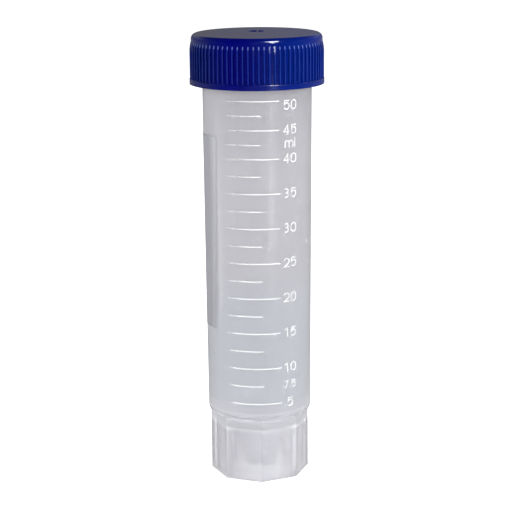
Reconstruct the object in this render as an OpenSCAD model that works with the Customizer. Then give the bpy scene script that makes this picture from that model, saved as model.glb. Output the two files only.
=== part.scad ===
// Self-standing 50 ml conical tube with a ribbed screw cap.
// Millimetres. The tube stands on z = 0 with its axis on Z. The printed scale faces -Y.

/* [Tube] */
// Height of the tube from the table to its mouth
tube_h = 115.8; // [112:0.1:125]
// Outer diameter at the lower end of the straight wall
foot_d = 27.6; // [26:0.1:30]
// How much the outer diameter grows from there to the mouth
wall_taper = 1.2; // [0.4:0.1:2]
// Thickness of the straight wall at its lower end
wall = 1.05; // [0.8:0.05:1.3]
// How much thinner the wall is at the mouth
wall_thinning = 0.15; // [0:0.05:0.3]
// Height of the lower end of the straight wall
foot_z = 18.1; // [16:0.1:22]
// Radius of the rounded shoulder below the straight wall
shoulder_r = 1; // [0.6:0.1:1.6]
// Chamfer round the outside of the mouth
mouth_chamfer = 0.25; // [0.1:0.05:0.4]

/* [Cone] */
// Height of the inside corner, where the cone begins, above the end of the straight wall
cone_rise = 1; // [0.4:0.1:1.5]
// Thickness of the cone's wall
cone_wall = 1.2; // [0.9:0.05:1.5]
// Inside diameter of the cone's blunt tip
tip_d = 4.8; // [3:0.1:6]
// Thickness of the floor at the tip
tip_floor = 1.3; // [0.9:0.05:1.8]
// Gap between the tip and the table
tip_gap = 1.1; // [0.6:0.1:3]

/* [Skirt] */
// How far the corners of the eight-sided skirt lie inside the straight wall
skirt_inset = 0.6; // [0.4:0.01:1.2]
// Thickness of the skirt at the middle of its flat sides
skirt_wall = 1.1; // [0.8:0.05:1.5]
// Turn of the skirt's front corner to the right
skirt_turn = 2.6; // [0:0.1:22]

/* [Screw thread] */
// Rise of the thread in one turn
thread_pitch = 3.5; // [3:0.1:4]
// Turns that hold the cap
thread_turns = 1.25; // [1:0.05:1.3]
// Height of the thread's ridge
thread_depth = 1; // [0.7:0.05:1.2]
// Width of the ridge at its foot
thread_foot_w = 1.7; // [1.3:0.05:1.9]
// Width of the ridge at its crest
thread_crest_w = 0.7; // [0.4:0.05:0.9]
// Gap between each crest and the wall that it faces
thread_clear = 0.3; // [0.25:0.05:0.5]
// Plain stretch inside the cap below its thread
thread_land = 1.2; // [0.8:0.1:1.6]

/* [Cap] */
// Height of the cap
cap_h = 13; // [12:0.05:15]
// Thickness of the cap's top
cap_top = 1.5; // [1.2:0.1:2]
// Thickness of the cap's wall at the plain band and in the valleys between the ribs
cap_wall = 1.4; // [1.1:0.05:2]
// How far the plain rim at the bottom stands out of the plain band at the top
rim_step = 0.5; // [0.4:0.05:0.8]
// Height of the plain rim
cap_rim_h = 1.5; // [1:0.1:2.5]
// Height of the plain band with its rounded edge
cap_band_h = 2; // [1.65:0.05:3]
// Radius of the rounded top edge
cap_edge_r = 1.35; // [0.8:0.05:1.6]
// Number of grip ribs
rib_count = 80; // [60:1:84]
// How far a rib stands out of the valleys
rib_depth = 0.39; // [0.2:0.01:0.42]
// Radius of a rib's rounded crest
rib_r = 0.28; // [0.25:0.01:0.5]
// Length over which a rib's upper end fades out
rib_fade = 2.8; // [1:0.1:4]
// Turn of the first rib from the front
rib_turn = 1.6; // [0:0.1:6]
// Diameter of the shallow dimple in the top
dimple_d = 4.1; // [3:0.1:8]
// Depth of the dimple
dimple_depth = 0.38; // [0.2:0.02:0.6]
// Distance from the middle of the top back to the dimple's middle
dimple_back = 4; // [0:0.1:8]
// Thickness of the web that divides the dimple
dimple_web = 0.45; // [0.3:0.05:0.8]
// How far the web lies to the right of the dimple's middle
dimple_web_shift = 0.25; // [0:0.05:1]

/* [Seal] */
// Thickness of the sealing disc
liner_h = 1.2; // [0.8:0.1:2]
// Gap round the sealing disc
liner_clear = 0.3; // [0.25:0.05:0.5]

/* [Scale] */
// Height of the first line above the lower end of the straight wall
first_line_rise = 3.9; // [3:0.05:5]
// Distance from the last line up to the mouth
last_line_drop = 13.4; // [13:0.05:16]
// Volume of the first mark in millilitres
first_ml = 5; // [5:2.5:10]
// Volume of the last mark in millilitres
last_ml = 50; // [45:2.5:50]
// Volume between two marks in millilitres
step_ml = 2.5; // [2.5:2.5:5]
// Last volume at which the marks follow the bore
true_ml = 40; // [30:2.5:50]
// Distance between the marks above that volume, before the scale is fitted to the tube
top_step = 3.72; // [3.4:0.02:3.9]
// Width of a printed line
line_w = 0.28; // [0.24:0.02:0.6]
// Angle of the lines' left end from the front
line_left_angle = -34; // [-40:0.5:-25]
// Angle of a long line's right end from the front at the first mark
long_right_angle = 25.2; // [15:0.2:27]
// Angle of a short line's right end from the front at the first mark
short_right_angle = 5.2; // [0:0.2:12]
// How much the right ends draw back towards the last mark
right_shift_angle = 2.5; // [0:0.1:4]
// Thickness of the printed ink
ink_h = 0.05; // [0.03:0.01:0.1]
// Gap under the ink, so that it doesn't share the wall's face
ink_gap = 0.01; // [0.005:0.005:0.03]

/* [Numerals] */
// Height of the numerals
glyph_h = 2.52; // [2:0.02:3.2]
// Width of one numeral
glyph_w = 1.88; // [1.3:0.02:2]
// Width of the letter m
wide_glyph_w = 2.7; // [2.2:0.05:3]
// Width of the strokes
stroke_w = 0.28; // [0.26:0.02:0.5]
// Space between two numerals
glyph_gap = 0.36; // [0.3:0.02:0.7]
// Angle of the middle of each label from the front
label_angle = 35.7; // [30:0.1:45]
// Size of the label between two others, as a share of the rest
small_label = 0.82; // [0.7:0.01:1]
// How far the top label hangs below its line
top_label_drop = 1.1; // [0:0.1:2]
// Height of the unit's middle above the line below it
unit_rise = 4.0; // [3.6:0.01:4.4]

/* [Writing panel] */
// Height of the panel's lower edge
panel_z = 41.4; // [35:0.1:50]
// Height of the panel
panel_h = 51.4; // [30:0.1:55]
// Angle of the panel's right edge from the front, at the top
panel_right_angle = -48; // [-60:0.1:-42]
// Angle by which the right edge leans to the left on its way down
panel_lean_angle = 6.7; // [0.5:0.1:8]
// Angle that the panel spans round the wall at the top, as far as the left side
panel_span_angle = 64; // [40:1:160]
// Radius of the panel's lower corners
panel_low_r = 0.4; // [0.3:0.1:4]
// Radius of the panel's upper corners
panel_top_r = 0.4; // [0.3:0.1:4]

/* [Hidden] */
$fn = 96;
over = 1; // how far a cut runs past the face it opens

// Tube
foot_r = foot_d / 2;
mouth_r = foot_r + wall_taper / 2;
slope = (mouth_r - foot_r) / (tube_h - foot_z);
cone_z = foot_z + cone_rise;
tip_z = tip_gap + tip_floor;
tip_r = tip_d / 2;
bore_foot_r = wall_r(cone_z) - wall;
bore_mouth_r = mouth_r - wall + wall_thinning;
bore_slope = (bore_mouth_r - bore_foot_r) / (tube_h - cone_z);
cone_slope = (bore_foot_r - tip_r) / (cone_z - tip_z);
cone_shift = cone_wall * sqrt(1 + cone_slope * cone_slope);
under_angle = 45; // slope of the shoulder's underside
under_r = foot_r - shoulder_r * (1 - cos(under_angle));
under_z = foot_z - shoulder_r * sin(under_angle);
under_run = 2; // how far the underside runs inwards, which is past the skirt's flat sides
skirt_r = foot_r - skirt_inset;
skirt_sides = 8;
skirt_in_r = skirt_r * cos(180 / skirt_sides) - skirt_wall;

// Cap
cap_z = tube_h + liner_h + cap_top - cap_h;
ceiling_z = tube_h + liner_h;
cavity_r = mouth_r + thread_depth + thread_clear;
band_r = cavity_r + cap_wall;
rim_r = band_r + rim_step;
crest_r = band_r + rib_depth;
rib_top = cap_h - cap_band_h;
rib_arc_r = (rib_fade * rib_fade + rib_depth * rib_depth) / (2 * rib_depth);
lead_in = 0.5; // chamfer at the cap's open end
rim_round = 0.3; // radius of the rim's upper edge

// Thread
thread_steps = 36; // facets in one turn
thread_fade = 4; // facets over which an end runs out
thread_sink = 0.25; // how deep the ridge's foot lies in its wall
cap_thread_z = cap_z + thread_land + thread_foot_w / 2;
neck_thread_z = cap_thread_z + thread_pitch / 2;

// Scale
mm3_per_ml = 1000;
cone_volume = PI * (cone_z - tip_z) * (pow(bore_foot_r, 2) + bore_foot_r * tip_r + pow(tip_r, 2)) / 3;
first_z = foot_z + first_line_rise;
last_z = tube_h - last_line_drop;
digit_step = glyph_w + glyph_gap;
long_every_ml = 2 * step_ml;
small_ml = 7.5;
unit_ml = 40;
labels = [[5, "5"], [7.5, "7.5"], [10, "10"], [15, "15"], [20, "20"], [25, "25"],
    [30, "30"], [35, "35"], [40, "40"], [45, "45"], [50, "50"]];

// Outer radius of the straight wall at a height
function wall_r(z) = foot_r + slope * (z - foot_z);

// Outer radius of the cone at a height
function cone_out_r(z) = tip_r + cone_shift + cone_slope * (z - tip_z);

// Height at which the bore holds a volume
function fill_z(ml) =
    let (cube_r = pow(bore_foot_r, 3) + 3 * bore_slope * (ml * mm3_per_ml - cone_volume) / PI)
    cone_z + (pow(cube_r, 1 / 3) - bore_foot_r) / bore_slope;

// Height of a mark by the bore's volume, with even steps at the top
function rule_z(ml) =
    ml <= true_ml ? fill_z(ml) : fill_z(true_ml) + top_step * (ml - true_ml) / step_ml;

// Height of a printed mark, with the rule spread from the first line to the last
function mark_z(ml) =
    let (way = (rule_z(ml) - rule_z(first_ml)) / (rule_z(last_ml) - rule_z(first_ml)))
    first_z + way * (last_z - first_z);

// Share of the way from the first mark to the last
function mark_share(ml) = (ml - first_ml) / (last_ml - first_ml);

// One ridge of the thread. side is 1 for a ridge that stands out and -1 for one that stands in.
module thread_ridge(root_r, side, z) {
    steps = ceil(thread_turns * thread_steps);
    foot = root_r - side * thread_sink;
    foot_half = thread_foot_w / 2;
    crest_half = thread_crest_w / 2;
    points = [
        for (i = [0 : steps])
            let (
                turn = thread_turns * i / steps,
                full = min(1, (min(i, steps - i) + 0.4) / thread_fade),
                crest = root_r + side * thread_depth * full,
                at = z + thread_pitch * turn
            )
            for (p = [[foot, -foot_half], [crest, -crest_half], [crest, crest_half], [foot, foot_half]])
                [p[0] * cos(360 * turn), p[0] * sin(360 * turn), at + p[1]]
    ];
    last = 4 * steps;
    faces = concat(
        [[3, 2, 1, 0]],
        [for (i = [0 : steps - 1], j = [0 : 3]) [4 * i + j, 4 * i + (j + 1) % 4, 4 * i + 4 + (j + 1) % 4]],
        [for (i = [0 : steps - 1], j = [0 : 3]) [4 * i + j, 4 * i + 4 + (j + 1) % 4, 4 * i + 4 + j]],
        [[last, last + 1, last + 2, last + 3]]
    );
    polyhedron(points, side > 0 ? faces : [for (f = faces) [for (k = [len(f) - 1 : -1 : 0]) f[k]]]);
}

// Straight wall, its rounded shoulder and the cone, all solid
module tube_outside() {
    translate([0, 0, foot_z])
        cylinder(h = tube_h - foot_z - mouth_chamfer, r1 = foot_r, r2 = wall_r(tube_h - mouth_chamfer));
    translate([0, 0, tube_h - mouth_chamfer])
        cylinder(h = mouth_chamfer, r1 = wall_r(tube_h - mouth_chamfer), r2 = mouth_r - mouth_chamfer);
    shoulder();
    cone_outside();
}

// Rounded lower edge of the straight wall, with an underside that slopes in to the skirt
module shoulder() {
    low_r = under_r - under_run;
    low_z = under_z - under_run * tan(under_angle);
    rotate_extrude() {
        polygon([[0, low_z], [low_r, low_z], [under_r, under_z], [foot_r - shoulder_r, foot_z], [0, foot_z]]);
        translate([foot_r - shoulder_r, foot_z])
            circle(shoulder_r);
    }
}

module cone_outside() {
    translate([0, 0, tip_gap])
        cylinder(h = foot_z - tip_gap, r1 = cone_out_r(tip_gap), r2 = cone_out_r(foot_z));
}

module bore() {
    translate([0, 0, tip_z])
        cylinder(h = cone_z - tip_z, r1 = tip_r, r2 = bore_foot_r);
    translate([0, 0, cone_z])
        cylinder(h = tube_h + over - cone_z, r1 = bore_foot_r, r2 = bore_mouth_r + bore_slope * over);
}

// Eight-sided prism with one corner at the front
module skirt_prism(r, z0, z1) {
    translate([0, 0, z0])
        rotate([0, 0, skirt_turn - 90])
            cylinder(h = z1 - z0, r = r, $fn = skirt_sides);
}

// Round hollow between the skirt and the cone
module skirt_hollow() {
    difference() {
        translate([0, 0, -over])
            cylinder(h = foot_z + over, r = skirt_in_r);
        cone_outside();
    }
}

module tube() {
    color([0.86, 0.87, 0.9, 0.6])
        difference() {
            union() {
                tube_outside();
                skirt_prism(skirt_r, 0, foot_z);
                thread_ridge(wall_r(neck_thread_z), 1, neck_thread_z);
            }
            bore();
            skirt_hollow();
        }
}

// Thin skin that the ink fills, between two heights
module ink_skin(z0, z1) {
    translate([0, 0, z0])
        difference() {
            cylinder(h = z1 - z0, r1 = wall_r(z0) + ink_gap + ink_h, r2 = wall_r(z1) + ink_gap + ink_h);
            cylinder(h = z1 - z0, r1 = wall_r(z0) + ink_gap, r2 = wall_r(z1) + ink_gap);
        }
}

// One band of ink from one angle to another
module ink_band(z0, z1, left, right) {
    in_0 = wall_r(z0) + ink_gap;
    in_1 = wall_r(z1) + ink_gap;
    rotate([0, 0, left - 90])
        rotate_extrude(angle = right - left)
            polygon([[in_0, z0], [in_0 + ink_h, z0], [in_1 + ink_h, z1], [in_1, z1]]);
}

module graduation_lines() {
    color("white")
        for (ml = [first_ml : step_ml : last_ml]) {
            is_long = ml % long_every_ml < step_ml / 2;
            right = (is_long ? long_right_angle : short_right_angle) - right_shift_angle * mark_share(ml);
            ink_band(mark_z(ml) - line_w / 2, mark_z(ml) + line_w / 2, line_left_angle, right);
        }
}

// Straight stroke from one point to another
module stroke(from, to) {
    way = to - from;
    translate(from)
        rotate(atan2(way[1], way[0]))
            translate([0, -stroke_w / 2])
                square([norm(way), stroke_w]);
}

// Round stroke about a centre, counter-clockwise from one angle to another
module bow(centre, r, from, to) {
    reach = 2 * (r + stroke_w);
    turns = [for (i = [0 : 8]) from + (to - from) * i / 8];
    translate(centre)
        intersection() {
            difference() {
                circle(r + stroke_w / 2);
                circle(r - stroke_w / 2);
            }
            polygon(concat([[0, 0]], [for (turn = turns) reach * [cos(turn), sin(turn)]]));
        }
}

module stadium(w, h) {
    for (end = [-1, 1])
        translate([0, end * (h - w) / 2])
            circle(w / 2);
    square([w, h - w], center = true);
}

// Centre lines of the strokes, with the glyph's middle at the origin
arm_top = (glyph_h - stroke_w) / 2;
arm_side = (glyph_w - stroke_w) / 2;
point_w = 1.4 * stroke_w;

module zero() {
    difference() {
        stadium(glyph_w, glyph_h);
        stadium(glyph_w - 2 * stroke_w, glyph_h - 2 * stroke_w);
    }
}

module one() {
    stroke([arm_side / 3, -glyph_h / 2], [arm_side / 3, glyph_h / 2]);
    stroke([-arm_side * 0.8, arm_top * 0.52], [arm_side / 3, arm_top * 0.9]);
}

module two() {
    bow([0, arm_top - arm_side], arm_side, -25, 165);
    stroke([arm_side * 0.95, arm_top - arm_side * 1.45], [-arm_side * 0.9, -arm_top]);
    stroke([-arm_side - stroke_w / 2, -arm_top], [arm_side + stroke_w / 2, -arm_top]);
}

module three() {
    upper = arm_top * 0.48;
    lower = arm_top * 0.52;
    bow([-arm_side * 0.05, arm_top - upper], upper, -90, 150);
    bow([-arm_side * 0.05, lower - arm_top], lower, -150, 90);
    stroke([-arm_side * 0.45, arm_top - 2 * upper], [arm_side * 0.05, arm_top - 2 * upper]);
}

module four() {
    stem = arm_side * 0.45;
    bar = -arm_top * 0.42;
    stroke([stem, -glyph_h / 2], [stem, glyph_h / 2]);
    stroke([-arm_side - stroke_w / 2, bar], [arm_side + stroke_w / 2, bar]);
    stroke([stem, arm_top * 0.98], [-arm_side, bar]);
}

module five() {
    bow([0, arm_side - arm_top], arm_side, -155, 140);
    stroke([-arm_side * 0.72, arm_top], [arm_side + stroke_w / 3, arm_top]);
    stroke([-arm_side * 0.7, glyph_h / 2], [-arm_side * 0.86, -arm_top * 0.08]);
}

module seven() {
    stroke([-arm_side - stroke_w / 2, arm_top], [arm_side + stroke_w / 2, arm_top]);
    stroke([arm_side * 0.9, arm_top], [-arm_side * 0.35, -glyph_h / 2]);
}

module letter_m() {
    leg = (wide_glyph_w - stroke_w) / 2;
    arch = leg / 2;
    x_top = arm_top * 0.5;
    for (at = [-leg, 0, leg])
        stroke([at, -glyph_h / 2], [at, x_top - (at < 0 ? 0 : arch)]);
    for (at = [-arch, arch])
        bow([at, x_top - arch], arch, 0, 180);
}

module letter_l() {
    stroke([0, -glyph_h / 2], [0, glyph_h / 2]);
}

module point() {
    translate([-point_w / 2, -glyph_h / 2])
        square(point_w);
}

module glyph(name) {
    if (name == "0") zero();
    if (name == "1") one();
    if (name == "2") two();
    if (name == "3") three();
    if (name == "4") four();
    if (name == "5") five();
    if (name == "7") seven();
    if (name == "m") letter_m();
    if (name == "l") letter_l();
    if (name == ".") point();
}

// One row of glyphs, laid on the wall at a height
module label(word, z, size = 1) {
    intersection() {
        ink_skin(z - glyph_h, z + glyph_h);
        rotate([90, 0, label_angle])
            for (i = [0 : len(word) - 1])
                translate([size * digit_step * glyph_place(word, i), z, bore_foot_r])
                    scale(size)
                        linear_extrude(foot_r)
                            glyph(word[i]);
    }
}

// Room that a glyph takes in its word, in steps of a numeral
function glyph_width(word, i) =
    word[i] == "m" ? (wide_glyph_w + glyph_gap) / digit_step :
    word[i] == "l" || word[i] == "." ? (stroke_w + glyph_gap) / digit_step : 1;
function width_to(word, i) = i <= 0 ? 0 : width_to(word, i - 1) + glyph_width(word, i - 1);

// Place of a glyph in its word, in the same steps from the word's middle
function glyph_place(word, i) =
    width_to(word, i) + glyph_width(word, i) / 2 - width_to(word, len(word)) / 2;

module graduation_numerals() {
    color("white") {
        for (l = labels)
            if (l[0] >= first_ml && l[0] <= last_ml) {
                drop = l[0] == last_ml ? top_label_drop : 0;
                label(l[1], mark_z(l[0]) - drop, l[0] == small_ml ? small_label : 1);
            }
        label("ml", mark_z(unit_ml) + unit_rise);
    }
}

// What the lean takes off the panel's right edge
module panel_edge_cut() {
    lean = panel_lean_angle * PI * wall_r(panel_z) / 180;
    rotate([90, 0, panel_right_angle])
        translate([0, panel_z, bore_foot_r])
            linear_extrude(foot_r)
                polygon([[-lean, 0], [-lean, -over], [over, -over], [over, panel_h], [0, panel_h]]);
}

// What rounding takes off one corner of the panel. right and up are 1 or -1 and say which corner.
module panel_corner_cut(angle, z, r, right, up) {
    rotate([90, 0, angle])
        translate([0, z, bore_foot_r])
            difference() {
                translate([(right - 1) * r, (up - 1) * r, 0])
                    cube([2 * r, 2 * r, foot_r]);
                translate([0, 0, -over])
                    cylinder(h = foot_r + 2 * over, r = r);
            }
}

module writing_panel() {
    left = panel_right_angle - panel_span_angle;
    low_right = panel_right_angle - panel_lean_angle;
    panel_top = panel_z + panel_h;
    low = panel_low_r * 180 / (PI * wall_r(panel_z));
    high = panel_top_r * 180 / (PI * wall_r(panel_top));
    color([0.93, 0.93, 0.94])
        difference() {
            ink_band(panel_z, panel_top, left, panel_right_angle);
            panel_edge_cut();
            panel_corner_cut(low_right - low, panel_z + panel_low_r, panel_low_r, 1, -1);
            panel_corner_cut(left + low, panel_z + panel_low_r, panel_low_r, -1, -1);
            panel_corner_cut(panel_right_angle - high, panel_top - panel_top_r, panel_top_r, 1, 1);
            panel_corner_cut(left + high, panel_top - panel_top_r, panel_top_r, -1, 1);
        }
}

module seal_liner() {
    color([0.93, 0.93, 0.9])
        translate([0, 0, tube_h])
            cylinder(h = liner_h, r = cavity_r - liner_clear);
}

// Plain body of the cap with its rounded top edge and its rim
module cap_body() {
    rotate_extrude() {
        square([band_r, cap_h - cap_edge_r]);
        square([band_r - cap_edge_r, cap_h]);
        translate([band_r - cap_edge_r, cap_h - cap_edge_r])
            circle(cap_edge_r);
        square([rim_r, cap_rim_h - rim_round]);
        square([rim_r - rim_round, cap_rim_h]);
        translate([rim_r - rim_round, cap_rim_h - rim_round])
            circle(rim_round);
    }
}

// Grip ribs, whose crests curve down to the plain band at their upper ends
module cap_ribs() {
    intersection() {
        for (i = [0 : rib_count - 1])
            rotate([0, 0, rib_turn - 90 + 360 * i / rib_count])
                translate([crest_r - rib_r, 0, cap_rim_h / 2])
                    cylinder(h = rib_top - cap_rim_h / 2, r = rib_r, $fn = 24);
        rotate_extrude() {
            square([crest_r, rib_top - rib_fade]);
            intersection() {
                translate([crest_r - rib_arc_r, rib_top - rib_fade])
                    circle(rib_arc_r);
                square([crest_r, rib_top]);
            }
        }
    }
}

// Shallow round dimple behind the middle of the top, divided by a web
module top_dimple() {
    translate([0, dimple_back, cap_h - dimple_depth])
        difference() {
            cylinder(h = dimple_depth + over, d = dimple_d);
            translate([dimple_web_shift - dimple_web / 2, -dimple_d, 0])
                cube([dimple_web, 2 * dimple_d, dimple_depth]);
        }
}

module cap() {
    color([0.01, 0.03, 0.5])
        union() {
            translate([0, 0, cap_z])
                difference() {
                    union() {
                        cap_body();
                        cap_ribs();
                    }
                    translate([0, 0, -over])
                        cylinder(h = ceiling_z - cap_z + over, r = cavity_r);
                    cylinder(h = lead_in, r1 = cavity_r + lead_in, r2 = cavity_r);
                    top_dimple();
                }
            thread_ridge(cavity_r, -1, cap_thread_z);
        }
}

tube();
graduation_lines();
graduation_numerals();
writing_panel();
seal_liner();
cap();
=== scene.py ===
import math

import bpy
from mathutils import Euler, Matrix, Vector

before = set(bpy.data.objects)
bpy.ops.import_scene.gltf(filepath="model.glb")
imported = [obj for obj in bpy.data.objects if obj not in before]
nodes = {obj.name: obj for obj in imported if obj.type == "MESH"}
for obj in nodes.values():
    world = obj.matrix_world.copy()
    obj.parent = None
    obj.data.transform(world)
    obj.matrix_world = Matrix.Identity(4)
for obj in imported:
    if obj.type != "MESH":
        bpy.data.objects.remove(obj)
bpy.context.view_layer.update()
bpy.ops.object.select_all(action="DESELECT")
bpy.context.scene.view_settings.view_transform = "Standard"
print("frame loaded")

# the camera stands a little above the tube and looks down at its middle
view = {
    "distance": 0.42003,
    "height": 0.15759,
    "side": -0.00035,
    "pitch": 13.2,
    "roll": -0.48,
    "width": 512,  # of the image; focal and middle are in the same steps
    "focal": 1614.3,
    "middle": (257.1, 255.99),
    "sensor": 36.0,
    "nearest": 0.01,
    "farthest": 20,
}


def makeCamera():
    data = bpy.data.cameras.new("camera")
    data.sensor_width = view["sensor"]
    data.lens = view["focal"] / view["width"] * view["sensor"]
    half = view["width"] / 2
    data.shift_x = (half - view["middle"][0]) / view["width"]
    data.shift_y = (view["middle"][1] - half) / view["width"]
    data.clip_start = view["nearest"]
    data.clip_end = view["farthest"]
    camera = bpy.data.objects.new("camera", data)
    bpy.context.scene.collection.objects.link(camera)
    camera.location = (view["side"], -view["distance"], view["height"])
    aim = Euler((math.radians(90 - view["pitch"]), 0, 0)).to_matrix().to_4x4()
    roll = Matrix.Rotation(math.radians(view["roll"]), 4, "Z")
    camera.rotation_euler = (aim @ roll).to_euler()
    bpy.context.scene.camera = camera


makeCamera()
print("camera made")


def nodeTree(name):
    material = bpy.data.materials.new(name)
    material.use_nodes = True
    tree = material.node_tree
    tree.nodes.clear()
    return material, tree


def addNode(tree, kind, **values):
    node = tree.nodes.new(kind)
    for key, value in values.items():
        setattr(node, key, value)
    return node


def link(tree, source, target):
    tree.links.new(source, target)


# links a socket to a target, or sets the target to a number or a colour
def feed(tree, source, target):
    if isinstance(source, (int, float, tuple)):
        target.default_value = source
    else:
        link(tree, source, target)


# a maths node, with its inputs given as numbers or as sockets
def calc(tree, operation, *sources):
    node = addNode(tree, "ShaderNodeMath", operation=operation)
    for socket, source in zip(node.inputs, sources):
        feed(tree, source, socket)
    return node.outputs[0]


# one level or another, by a share
def between(tree, share, low, high):
    return calc(tree, "MULTIPLY_ADD", share, calc(tree, "SUBTRACT", high, low), low)


# 0 to 1 between two values, with soft ends
def ramp(tree, source, low, high):
    node = addNode(tree, "ShaderNodeMapRange", interpolation_type="SMOOTHSTEP")
    link(tree, source, node.inputs["Value"])
    feed(tree, low, node.inputs["From Min"])
    feed(tree, high, node.inputs["From Max"])
    return node.outputs[0]


# one colour or another, by a share; with way "ADD" the second is laid over the first
def blend(tree, share, first, second, way="MIX"):
    node = addNode(tree, "ShaderNodeMix", data_type="RGBA", blend_type=way)
    link(tree, share, node.inputs[0])
    feed(tree, first, node.inputs[6])
    feed(tree, second, node.inputs[7])
    return node.outputs[2]


# a place's X, Y and Z
def axesOf(tree, place):
    node = addNode(tree, "ShaderNodeSeparateXYZ")
    link(tree, place, node.inputs[0])
    return node.outputs


def lengthOf(tree, vector):
    node = addNode(tree, "ShaderNodeVectorMath", operation="LENGTH")
    link(tree, vector, node.inputs[0])
    return node.outputs["Value"]


# studio: white to the camera and through the clear plastic. In gloss it is pale behind the tube
# and dark in front, walls and floor alike. For plain light it is bright at the horizon and dim
# overhead. A pair says from where to where one level gives way to the next.
studio = {
    "horizon": 0.76,
    "zenith": 0.2,
    "fall": 2.0,
    "through": 0.8,
    "glossFront": 0.008,
    "glossLow": 0.172,
    "glossMiddle": 0.352,
    "glossHigh": 0.048,
    "lowToMiddle": (0.13, 0.3),
    "middleToHigh": (0.35, 0.65),
    "frontToBack": (-0.2, 0.7),
    "floorSize": 8.0,
    "floorColour": (0.88, 0.88, 0.885, 1),
    "floorGlow": 0.8,
    # painted shadow: the floor's dimmer glow inside the skirt
    "shadeGlow": 0.41,
    "shadeToFloor": (0.0125, 0.0145),
    "floorGlossFront": 0.012,
    "floorGlossBack": 0.25,
    "floorFrontToBack": (-0.05, 0.15),
    "floorGlossNear": 0.4,
    "farToNear": (0.2, 0.08),
}


# the camera's rays, rays that see the studio white, and rays of gloss that don't
def rayKinds(tree):
    path = addNode(tree, "ShaderNodeLightPath")
    camera = path.outputs["Is Camera Ray"]
    white = calc(tree, "MAXIMUM", camera, path.outputs["Is Transmission Ray"])
    other = calc(tree, "SUBTRACT", 1.0, white)
    gloss = calc(tree, "MULTIPLY", path.outputs["Is Glossy Ray"], other)
    return camera, white, gloss


def makeWorld():
    world = bpy.data.worlds.new("studio")
    bpy.context.scene.world = world
    world.use_nodes = True
    tree = world.node_tree
    tree.nodes.clear()
    out = addNode(tree, "ShaderNodeOutputWorld")
    sky = addNode(tree, "ShaderNodeBackground")
    sky.inputs["Color"].default_value = (1, 1, 1, 1)
    link(tree, sky.outputs[0], out.inputs["Surface"])
    axes = axesOf(tree, addNode(tree, "ShaderNodeTexCoord").outputs["Generated"])
    rise = axes["Z"]
    level = calc(tree, "SUBTRACT", 1.0, calc(tree, "ABSOLUTE", rise))
    level = calc(tree, "POWER", level, studio["fall"])
    plain = between(tree, level, studio["zenith"], studio["horizon"])
    middle = ramp(tree, rise, *studio["lowToMiddle"])
    back = between(tree, middle, studio["glossLow"], studio["glossMiddle"])
    back = between(tree, ramp(tree, rise, *studio["middleToHigh"]), back, studio["glossHigh"])
    behind = ramp(tree, axes["Y"], *studio["frontToBack"])
    shiny = between(tree, behind, studio["glossFront"], back)
    camera, white, gloss = rayKinds(tree)
    dim = between(tree, gloss, plain, shiny)
    seen = between(tree, camera, studio["through"], 1.0)
    link(tree, between(tree, white, dim, seen), sky.inputs["Strength"])


# the floor glows to the camera, so that it is white and keeps a soft shadow; inside the skirt
# it glows less, a painted shadow under the tube
def makeFloor():
    bpy.ops.mesh.primitive_plane_add(size=studio["floorSize"], location=(0, 0, 0))
    floor = bpy.context.object
    floor.name = "floor"
    material, tree = nodeTree("floor")
    out = addNode(tree, "ShaderNodeOutputMaterial")
    paint = addNode(tree, "ShaderNodeBsdfDiffuse")
    paint.inputs["Color"].default_value = studio["floorColour"]
    place = addNode(tree, "ShaderNodeTexCoord").outputs["Object"]
    away = lengthOf(tree, place)
    _, white, gloss = rayKinds(tree)
    glow = addNode(tree, "ShaderNodeEmission")
    # painted shadow: the glow drops to shadeGlow inside the skirt
    clear = ramp(tree, away, *studio["shadeToFloor"])
    level = between(tree, clear, studio["shadeGlow"], studio["floorGlow"])
    link(tree, calc(tree, "MULTIPLY", white, level), glow.inputs["Strength"])
    plain = addNode(tree, "ShaderNodeAddShader")
    link(tree, paint.outputs[0], plain.inputs[0])
    link(tree, glow.outputs[0], plain.inputs[1])
    shiny = addNode(tree, "ShaderNodeEmission")
    behind = ramp(tree, axesOf(tree, place)["Y"], *studio["floorFrontToBack"])
    level = between(tree, behind, studio["floorGlossFront"], studio["floorGlossBack"])
    near = calc(tree, "MULTIPLY", ramp(tree, away, *studio["farToNear"]), studio["floorGlossNear"])
    link(tree, calc(tree, "MAXIMUM", level, near), shiny.inputs["Strength"])
    mix = addNode(tree, "ShaderNodeMixShader")
    link(tree, gloss, mix.inputs[0])
    link(tree, plain.outputs[0], mix.inputs[1])
    link(tree, shiny.outputs[0], mix.inputs[2])
    link(tree, mix.outputs[0], out.inputs["Surface"])
    floor.data.materials.append(material)


makeWorld()
makeFloor()

# soft lamps that only light, with azimuths from the front to the right
soft = {
    "front": {"azimuth": 5, "away": 1.0, "rise": 0.35, "size": (0.6, 0.5), "power": 5.5},
    "left": {"azimuth": -80, "away": 0.9, "rise": 0.3, "size": (0.4, 0.5), "power": 5.5},
    "right": {"azimuth": 80, "away": 0.9, "rise": 0.3, "size": (0.4, 0.5), "power": 5.5},
    "backRight": {"azimuth": 140, "away": 0.9, "rise": 0.3, "size": (0.4, 0.5), "power": 2.5},
    "backLeft": {"azimuth": -140, "away": 0.9, "rise": 0.3, "size": (0.4, 0.5), "power": 3.0},
}

# lamps that only shine in the gloss
glints = {
    "key": {"azimuth": 32, "away": 0.8, "rise": 0.79, "size": (0.3, 0.2), "power": 12.0},
    "tall": {"azimuth": 28, "away": 0.8, "rise": 0.36, "size": (0.06, 0.3), "power": 1.3},
    "low": {"azimuth": 28, "away": 0.23, "rise": 0.036, "size": (0.035, 0.071), "power": 0.029},
    "lowLeft": {"azimuth": -89, "away": 0.17, "rise": 0.035, "size": (0.02, 0.07), "power": 0.019},
}

lampAim = (0, 0, 0.08)


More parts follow.
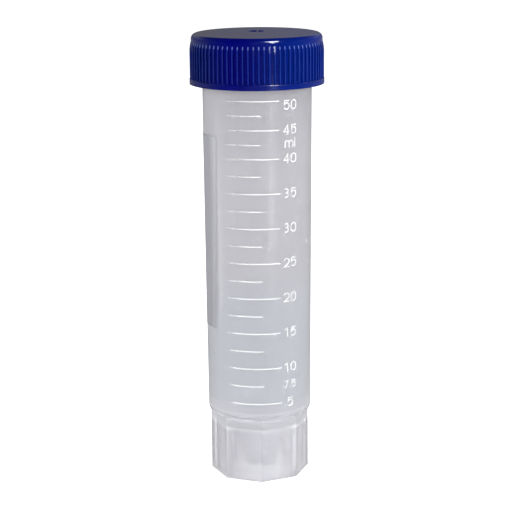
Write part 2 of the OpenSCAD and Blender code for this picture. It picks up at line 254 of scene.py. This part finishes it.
def addSoftLight(name, azimuth, away, rise, size, power):
    data = bpy.data.lights.new(name, "AREA")
    data.shape = "RECTANGLE"
    data.size, data.size_y = size
    data.energy = power
    lamp = bpy.data.objects.new(name, data)
    bpy.context.scene.collection.objects.link(lamp)
    turn = math.radians(azimuth)
    lamp.location = (away * math.sin(turn), -away * math.cos(turn), rise)
    aim = Vector(lampAim) - lamp.location
    lamp.rotation_euler = aim.to_track_quat("-Z", "Y").to_euler()
    lamp.visible_camera = False
    lamp.visible_transmission = False
    return lamp


for name, lamp in soft.items():
    addSoftLight(name, **lamp).visible_glossy = False
for name, lamp in glints.items():
    addSoftLight(name, **lamp).visible_diffuse = False
print("studio made")


# a node group with named inputs and outputs
def shaderGroup(name, inputs, outputs):
    group = bpy.data.node_groups.new(name, "ShaderNodeTree")
    kinds = {"value": "NodeSocketFloat", "colour": "NodeSocketColor", "vector": "NodeSocketVector"}
    for label, kind in inputs.items():
        group.interface.new_socket(label, in_out="INPUT", socket_type=kinds[kind])
    for label, kind in outputs.items():
        group.interface.new_socket(label, in_out="OUTPUT", socket_type=kinds[kind])
    start = addNode(group, "NodeGroupInput")
    end = addNode(group, "NodeGroupOutput")
    return group, start.outputs, end.inputs


def addGroup(tree, group, **values):
    node = addNode(tree, "ShaderNodeGroup", node_tree=group)
    for key, value in values.items():
        feed(tree, value, node.inputs[key])
    return node.outputs


# what the clouds and the moulded skin share on every piece
texture = {
    "cloudDetail": 4,
    "driftScale": 90,
    "driftDetail": 3,
    "grainDetail": 2,
    "grainDistance": 0.0002,
}


def addNoise(tree, place, scale, detail):
    node = addNode(tree, "ShaderNodeTexNoise")
    link(tree, place, node.inputs["Vector"])
    feed(tree, scale, node.inputs["Scale"])
    node.inputs["Detail"].default_value = detail
    return node.outputs[0]


# soft clouds in the colour: Colour goes to Other where the clouds are thick
def makeClouds():
    inputs = {"Place": "vector", "Colour": "colour", "Other": "colour",
              "Size": "value", "Amount": "value"}
    group, given, result = shaderGroup("clouds", inputs, {"Colour": "colour"})
    scale = calc(group, "DIVIDE", 1.0, given["Size"])
    noise = addNoise(group, given["Place"], scale, texture["cloudDetail"])
    thick = calc(group, "MULTIPLY", noise, given["Amount"])
    link(group, blend(group, thick, given["Colour"], given["Other"]), result["Colour"])
    return group


# a moulded skin: roughness that drifts, and a fine grain for the bump
def makeSkin():
    inputs = {"Place": "vector", "Roughness": "value", "Drift": "value",
              "Grain": "value", "Depth": "value"}
    outputs = {"Roughness": "value", "Normal": "vector"}
    group, given, result = shaderGroup("skin", inputs, outputs)
    drift = addNoise(group, given["Place"], texture["driftScale"], texture["driftDetail"])
    swing = calc(group, "MULTIPLY", calc(group, "SUBTRACT", drift, 0.5), given["Drift"])
    link(group, calc(group, "ADD", swing, given["Roughness"]), result["Roughness"])
    scale = calc(group, "DIVIDE", 1.0, given["Grain"])
    grain = addNoise(group, given["Place"], scale, texture["grainDetail"])
    bump = addNode(group, "ShaderNodeBump")
    bump.inputs["Distance"].default_value = texture["grainDistance"]
    link(group, given["Depth"], bump.inputs["Strength"])
    link(group, grain, bump.inputs["Height"])
    link(group, bump.outputs[0], result["Normal"])
    return group


# degrees round the axis, from the front to the right
def turnOf(tree, place):
    axes = axesOf(tree, place)
    turn = calc(tree, "ARCTAN2", axes["X"], calc(tree, "MULTIPLY", axes["Y"], -1.0))
    return calc(tree, "DEGREES", turn)


# share of the way round the axis from one angle to another
def makeTurnShare():
    inputs = {"Place": "vector", "From": "value", "To": "value"}
    group, given, result = shaderGroup("turnShare", inputs, {"Share": "value"})
    turn = turnOf(group, given["Place"])
    link(group, ramp(group, turn, given["From"], given["To"]), result["Share"])
    return group


# evenly spaced stripes round the axis: Share is 1 along the middle of each
def makeStripes():
    inputs = {"Place": "vector", "Step": "value", "First": "value",
              "Inside": "value", "Outside": "value"}
    group, given, result = shaderGroup("stripes", inputs, {"Share": "value"})
    past = calc(group, "SUBTRACT", turnOf(group, given["Place"]), given["First"])
    off = calc(group, "PINGPONG", calc(group, "DIVIDE", past, given["Step"]), 0.5)
    link(group, ramp(group, off, given["Outside"], given["Inside"]), result["Share"])
    return group


clouds = makeClouds()
skin = makeSkin()
turnShare = makeTurnShare()
stripes = makeStripes()


def plasticStart(name):
    material, tree = nodeTree(name)
    out = addNode(tree, "ShaderNodeOutputMaterial")
    body = addNode(tree, "ShaderNodeBsdfPrincipled")
    link(tree, body.outputs[0], out.inputs["Surface"])
    place = addNode(tree, "ShaderNodeTexCoord").outputs["Object"]
    return material, tree, body, place


# a colour with the clouds of a look in it
def clouded(tree, place, colour, look):
    return addGroup(tree, clouds, Place=place, Colour=colour, **look)["Colour"]


# gives the plastic its colour and its moulded skin
def plasticFinish(tree, body, place, colour, roughness, look):
    finish = addGroup(tree, skin, Place=place, Roughness=roughness, **look)
    link(tree, colour, body.inputs["Base Color"])
    link(tree, finish["Roughness"], body.inputs["Roughness"])
    link(tree, finish["Normal"], body.inputs["Normal"])


# Heights, Radii, Sides and Ends are places where one colour gives way to the next
tubeLook = {
    "clear": (0.715, 0.71, 0.74, 1),
    "clouds": {"Other": (0.685, 0.685, 0.72, 1), "Size": 0.012, "Amount": 0.8},
    "deep": (0.69, 0.705, 0.742, 1),
    "deepHeights": (0.06, 0.045),
    "neck": (0.665, 0.66, 0.695, 1),
    "neckHeights": (0.08, 0.103),
    "heel": (0.77, 0.77, 0.81, 1),
    "heelHeights": (0.0225, 0.0205),
    # a painted highlight along the wall's rounded lower edge
    "edgeHighlight": (0.875, 0.875, 0.915, 1),
    "edgeHighlightHeights": (0.0188, 0.0194),
    "edgeHighlightSoft": 0.0002,
    "footHeights": (0.0186, 0.0165),
    "ring": (0.955, 0.965, 1.0, 1),
    "ringHeights": (0.013, 0.0145),
    "cone": (0.935, 0.945, 0.98, 1),
    "coneRadii": (0.01, 0.0108),
    "milky": {"Other": (0.9, 0.83, 0.9, 1), "Size": 0.004, "Amount": 0.22},
    # painted shade from side to side: darkest towards the left, a little darker towards the right
    # than in the middle
    "skirtShadeLeft": (0.725, 0.725, 0.76, 1),
    "leftEnds": (-0.001, -0.0085),
    "skirt": (0.83, 0.838, 0.875, 1),
    "rightEnds": (0.0045, 0.007),
    "skirtShadeRight": (0.785, 0.79, 0.82, 1),
    # painted shade along the skirt's corners, fainter along the front ridge
    "corner": (0.66, 0.67, 0.7, 1),
    "cornerStep": 45.0,
    "firstCorner": 2.6,
    "cornerSides": (0.006, 0.0075),
    "cornerInside": 0.11,
    "cornerOutside": 0.25,
    "cornerShare": 0.9,
    "ridgeOutside": 0.04,
    "ridgeShare": 0.4,
    "skin": {"Drift": 0.06, "Grain": 0.0008, "Depth": 0.1},
    "roughness": 0.3,
    "footRoughness": 0.05,
    "haze": 0.36,
    "bend": 1.49,
    "coat": 0.25,
    "coatRoughness": 0.1,
}


# the wall's colour by height, with a painted highlight along its lower edge
def wallColour(tree, place, height):
    colour = clouded(tree, place, tubeLook["clear"], tubeLook["clouds"])
    for part in ("deep", "neck", "heel"):
        share = ramp(tree, height, *tubeLook[part + "Heights"])
        colour = blend(tree, share, colour, tubeLook[part])
    # painted highlight: a pale band along the wall's lower edge
    bottom, top = tubeLook["edgeHighlightHeights"]
    above = ramp(tree, height, top, top - tubeLook["edgeHighlightSoft"])
    below = ramp(tree, height, bottom - tubeLook["edgeHighlightSoft"], bottom)
    return blend(tree, calc(tree, "MULTIPLY", above, below), colour, tubeLook["edgeHighlight"])


# the skirt's colour, with painted shade towards its sides and along its corners; the ridge at the
# front is a narrow, faint one
def skirtColour(tree, place, side):
    left = ramp(tree, side, *tubeLook["leftEnds"])
    colour = blend(tree, left, tubeLook["skirt"], tubeLook["skirtShadeLeft"])
    right = ramp(tree, side, *tubeLook["rightEnds"])
    colour = blend(tree, right, colour, tubeLook["skirtShadeRight"])
    beside = ramp(tree, calc(tree, "ABSOLUTE", side), *tubeLook["cornerSides"])
    inside = between(tree, beside, 0.0, tubeLook["cornerInside"])
    outside = between(tree, beside, tubeLook["ridgeOutside"], tubeLook["cornerOutside"])
    corner = addGroup(tree, stripes, Place=place, Step=tubeLook["cornerStep"],
                      First=tubeLook["firstCorner"], Inside=inside, Outside=outside)
    most = between(tree, beside, tubeLook["ridgeShare"], tubeLook["cornerShare"])
    return blend(tree, calc(tree, "MULTIPLY", corner["Share"], most), colour, tubeLook["corner"])


# the foot's colour: the cone inside, the milky skirt round it and the ring that joins them
def footColour(tree, place, axes):
    flat = addNode(tree, "ShaderNodeVectorMath", operation="MULTIPLY")
    link(tree, place, flat.inputs[0])
    flat.inputs[1].default_value = (1, 1, 0)
    outer = ramp(tree, lengthOf(tree, flat.outputs[0]), *tubeLook["coneRadii"])
    colour = blend(tree, outer, tubeLook["cone"], skirtColour(tree, place, axes["X"]))
    colour = clouded(tree, place, colour, tubeLook["milky"])
    return blend(tree, ramp(tree, axes["Z"], *tubeLook["ringHeights"]), colour, tubeLook["ring"])


def tubePlastic():
    material, tree, body, place = plasticStart("tubePlastic")
    axes = axesOf(tree, place)
    low = ramp(tree, axes["Z"], *tubeLook["footHeights"])
    wall = wallColour(tree, place, axes["Z"])
    colour = blend(tree, low, wall, footColour(tree, place, axes))
    rough = between(tree, low, tubeLook["roughness"], tubeLook["footRoughness"])
    plasticFinish(tree, body, place, colour, rough, tubeLook["skin"])
    body.inputs["IOR"].default_value = tubeLook["bend"]
    body.inputs["Coat Weight"].default_value = tubeLook["coat"]
    body.inputs["Coat Roughness"].default_value = tubeLook["coatRoughness"]
    body.inputs["Transmission Weight"].default_value = 1 - tubeLook["haze"]
    return material


# the lines fade out, as painted shade, from the angle fadeTo down to fadeFrom; further up, already
# from fadeToHigh
inkLook = {
    "colour": (0.9, 0.9, 0.9, 1),
    "clouds": {"Other": (0.82, 0.82, 0.84, 1), "Size": 0.001, "Amount": 0.7},
    "skin": {"Drift": 0.1, "Grain": 0.0004, "Depth": 0.15},
    "roughness": 0.45,
    "fadeFrom": -42,
    "fadeTo": -28,
    "fadeToHigh": -1,
    "fadeHeights": (0.018, 0.1),
}


# printed ink; when fades is set it fades out towards the left, painted shade where the tube turns
# from the light; light crosses two faces of it, hence the root
def printedInk(name, fadesInShade):
    material, tree, body, place = plasticStart(name)
    colour = clouded(tree, place, inkLook["colour"], inkLook["clouds"])
    plasticFinish(tree, body, place, colour, inkLook["roughness"], inkLook["skin"])
    # painted shade: the ink fades out towards the left
    if fadesInShade:
        high = ramp(tree, axesOf(tree, place)["Z"], *inkLook["fadeHeights"])
        end = between(tree, high, inkLook["fadeTo"], inkLook["fadeToHigh"])
        fade = addGroup(tree, turnShare, Place=place, From=inkLook["fadeFrom"], To=end)
        gone = calc(tree, "SQRT", calc(tree, "SUBTRACT", 1.0, fade["Share"]))
        link(tree, calc(tree, "SUBTRACT", 1.0, gone), body.inputs["Alpha"])
    return material


panelLook = {
    "front": (0.42, 0.42, 0.445, 1),
    # painted shade: the panel's colour where it turns away to the left
    "side": (0.26, 0.26, 0.285, 1),
    "from": -45,
    "to": -64,
    "clouds": {"Other": (0.26, 0.26, 0.285, 1), "Size": 0.003, "Amount": 0.25},
    "skin": {"Drift": 0.1, "Grain": 0.0005, "Depth": 0.2},
    "roughness": 0.6,
    "gloss": 0.2,
}


# the writing panel's grey ink, darker from front to side as painted shade where it turns from the
# light
def panelInk():
    material, tree, body, place = plasticStart("panelInk")
    way = addGroup(tree, turnShare, Place=place, From=panelLook["from"], To=panelLook["to"])
    colour = blend(tree, way["Share"], panelLook["front"], panelLook["side"])
    colour = clouded(tree, place, colour, panelLook["clouds"])
    plasticFinish(tree, body, place, colour, panelLook["roughness"], panelLook["skin"])
    body.inputs["Specular IOR Level"].default_value = panelLook["gloss"]
    return material


linerLook = {
    "colour": (0.9, 0.9, 0.88, 1),
    "clouds": {"Other": (0.84, 0.84, 0.81, 1), "Size": 0.002, "Amount": 0.8},
    "skin": {"Drift": 0.1, "Grain": 0.0005, "Depth": 0.4},
    "roughness": 0.65,
}


def linerFoam():
    material, tree, body, place = plasticStart("linerFoam")
    colour = clouded(tree, place, linerLook["colour"], linerLook["clouds"])
    plasticFinish(tree, body, place, colour, linerLook["roughness"], linerLook["skin"])
    return material


capLook = {
    # left and right: painted shade on the left side and painted light on the right side
    "left": (0.0006, 0.0035, 0.062, 1),
    "leftEnds": (-0.006, -0.0155),
    "colour": (0.0001, 0.0004, 0.118, 1),
    "rightEnds": (-0.006, 0.011),
    "right": (0.0002, 0.0125, 0.172, 1),
    "clouds": {"Other": (0.0003, 0.004, 0.13, 1), "Size": 0.004, "Amount": 0.3},
    # painted highlights on the ribs' crests and, brighter, on their tips
    "crest": (0.0075, 0.018, 0.075, 1),
    "tip": (0.09, 0.13, 0.28, 1),
    "tipHeights": (0.1155, 0.1159),
    "ribHeights": (0.1071, 0.1166),
    "ribSoft": 0.0003,
    "ribStep": 4.5,
    "firstRib": 1.6,
    "stripeInside": 0.02,
    "stripeOutside": 0.17,
    "skin": {"Drift": 0.08, "Grain": 0.0006, "Depth": 0.12},
    "roughness": 0.13,
    "rimRoughness": 0.2,
    "gloss": 0.5,
}


# deep blue, darker on the left and lighter on the right as painted shade and painted light, with
# painted highlights laid over the ribs' crests and most on their tips
def capPlastic():
    material, tree, body, place = plasticStart("capPlastic")
    axes = axesOf(tree, place)
    side, height = axes["X"], axes["Z"]
    # painted shade towards the left, painted light towards the right
    left = ramp(tree, side, *capLook["leftEnds"])
    colour = blend(tree, left, capLook["colour"], capLook["left"])
    right = ramp(tree, side, *capLook["rightEnds"])
    colour = blend(tree, right, colour, capLook["right"])
    colour = clouded(tree, place, colour, capLook["clouds"])
    # painted highlights along the ribs' crests
    stripe = addGroup(tree, stripes, Place=place, Step=capLook["ribStep"],
                      First=capLook["firstRib"], Inside=capLook["stripeInside"],
                      Outside=capLook["stripeOutside"])
    bottom, top = capLook["ribHeights"]
    above = ramp(tree, height, bottom, bottom + capLook["ribSoft"])
    below = ramp(tree, height, top, top - capLook["ribSoft"])
    share = calc(tree, "MULTIPLY", stripe["Share"], calc(tree, "MULTIPLY", below, above))
    tip = ramp(tree, height, *capLook["tipHeights"])
    crest = blend(tree, tip, capLook["crest"], capLook["tip"])
    colour = blend(tree, share, colour, crest, "ADD")
    rough = between(tree, above, capLook["rimRoughness"], capLook["roughness"])
    plasticFinish(tree, body, place, colour, rough, capLook["skin"])
    body.inputs["Specular IOR Level"].default_value = capLook["gloss"]
    return material


def give(node, material):
    nodes[node].data.materials.clear()
    nodes[node].data.materials.append(material)


give("tube", tubePlastic())
give("graduation_lines", printedInk("lineInk", True))
give("graduation_numerals", printedInk("numeralInk", False))
give("writing_panel", panelInk())
give("seal_liner", linerFoam())
give("cap", capPlastic())
print("materials given")
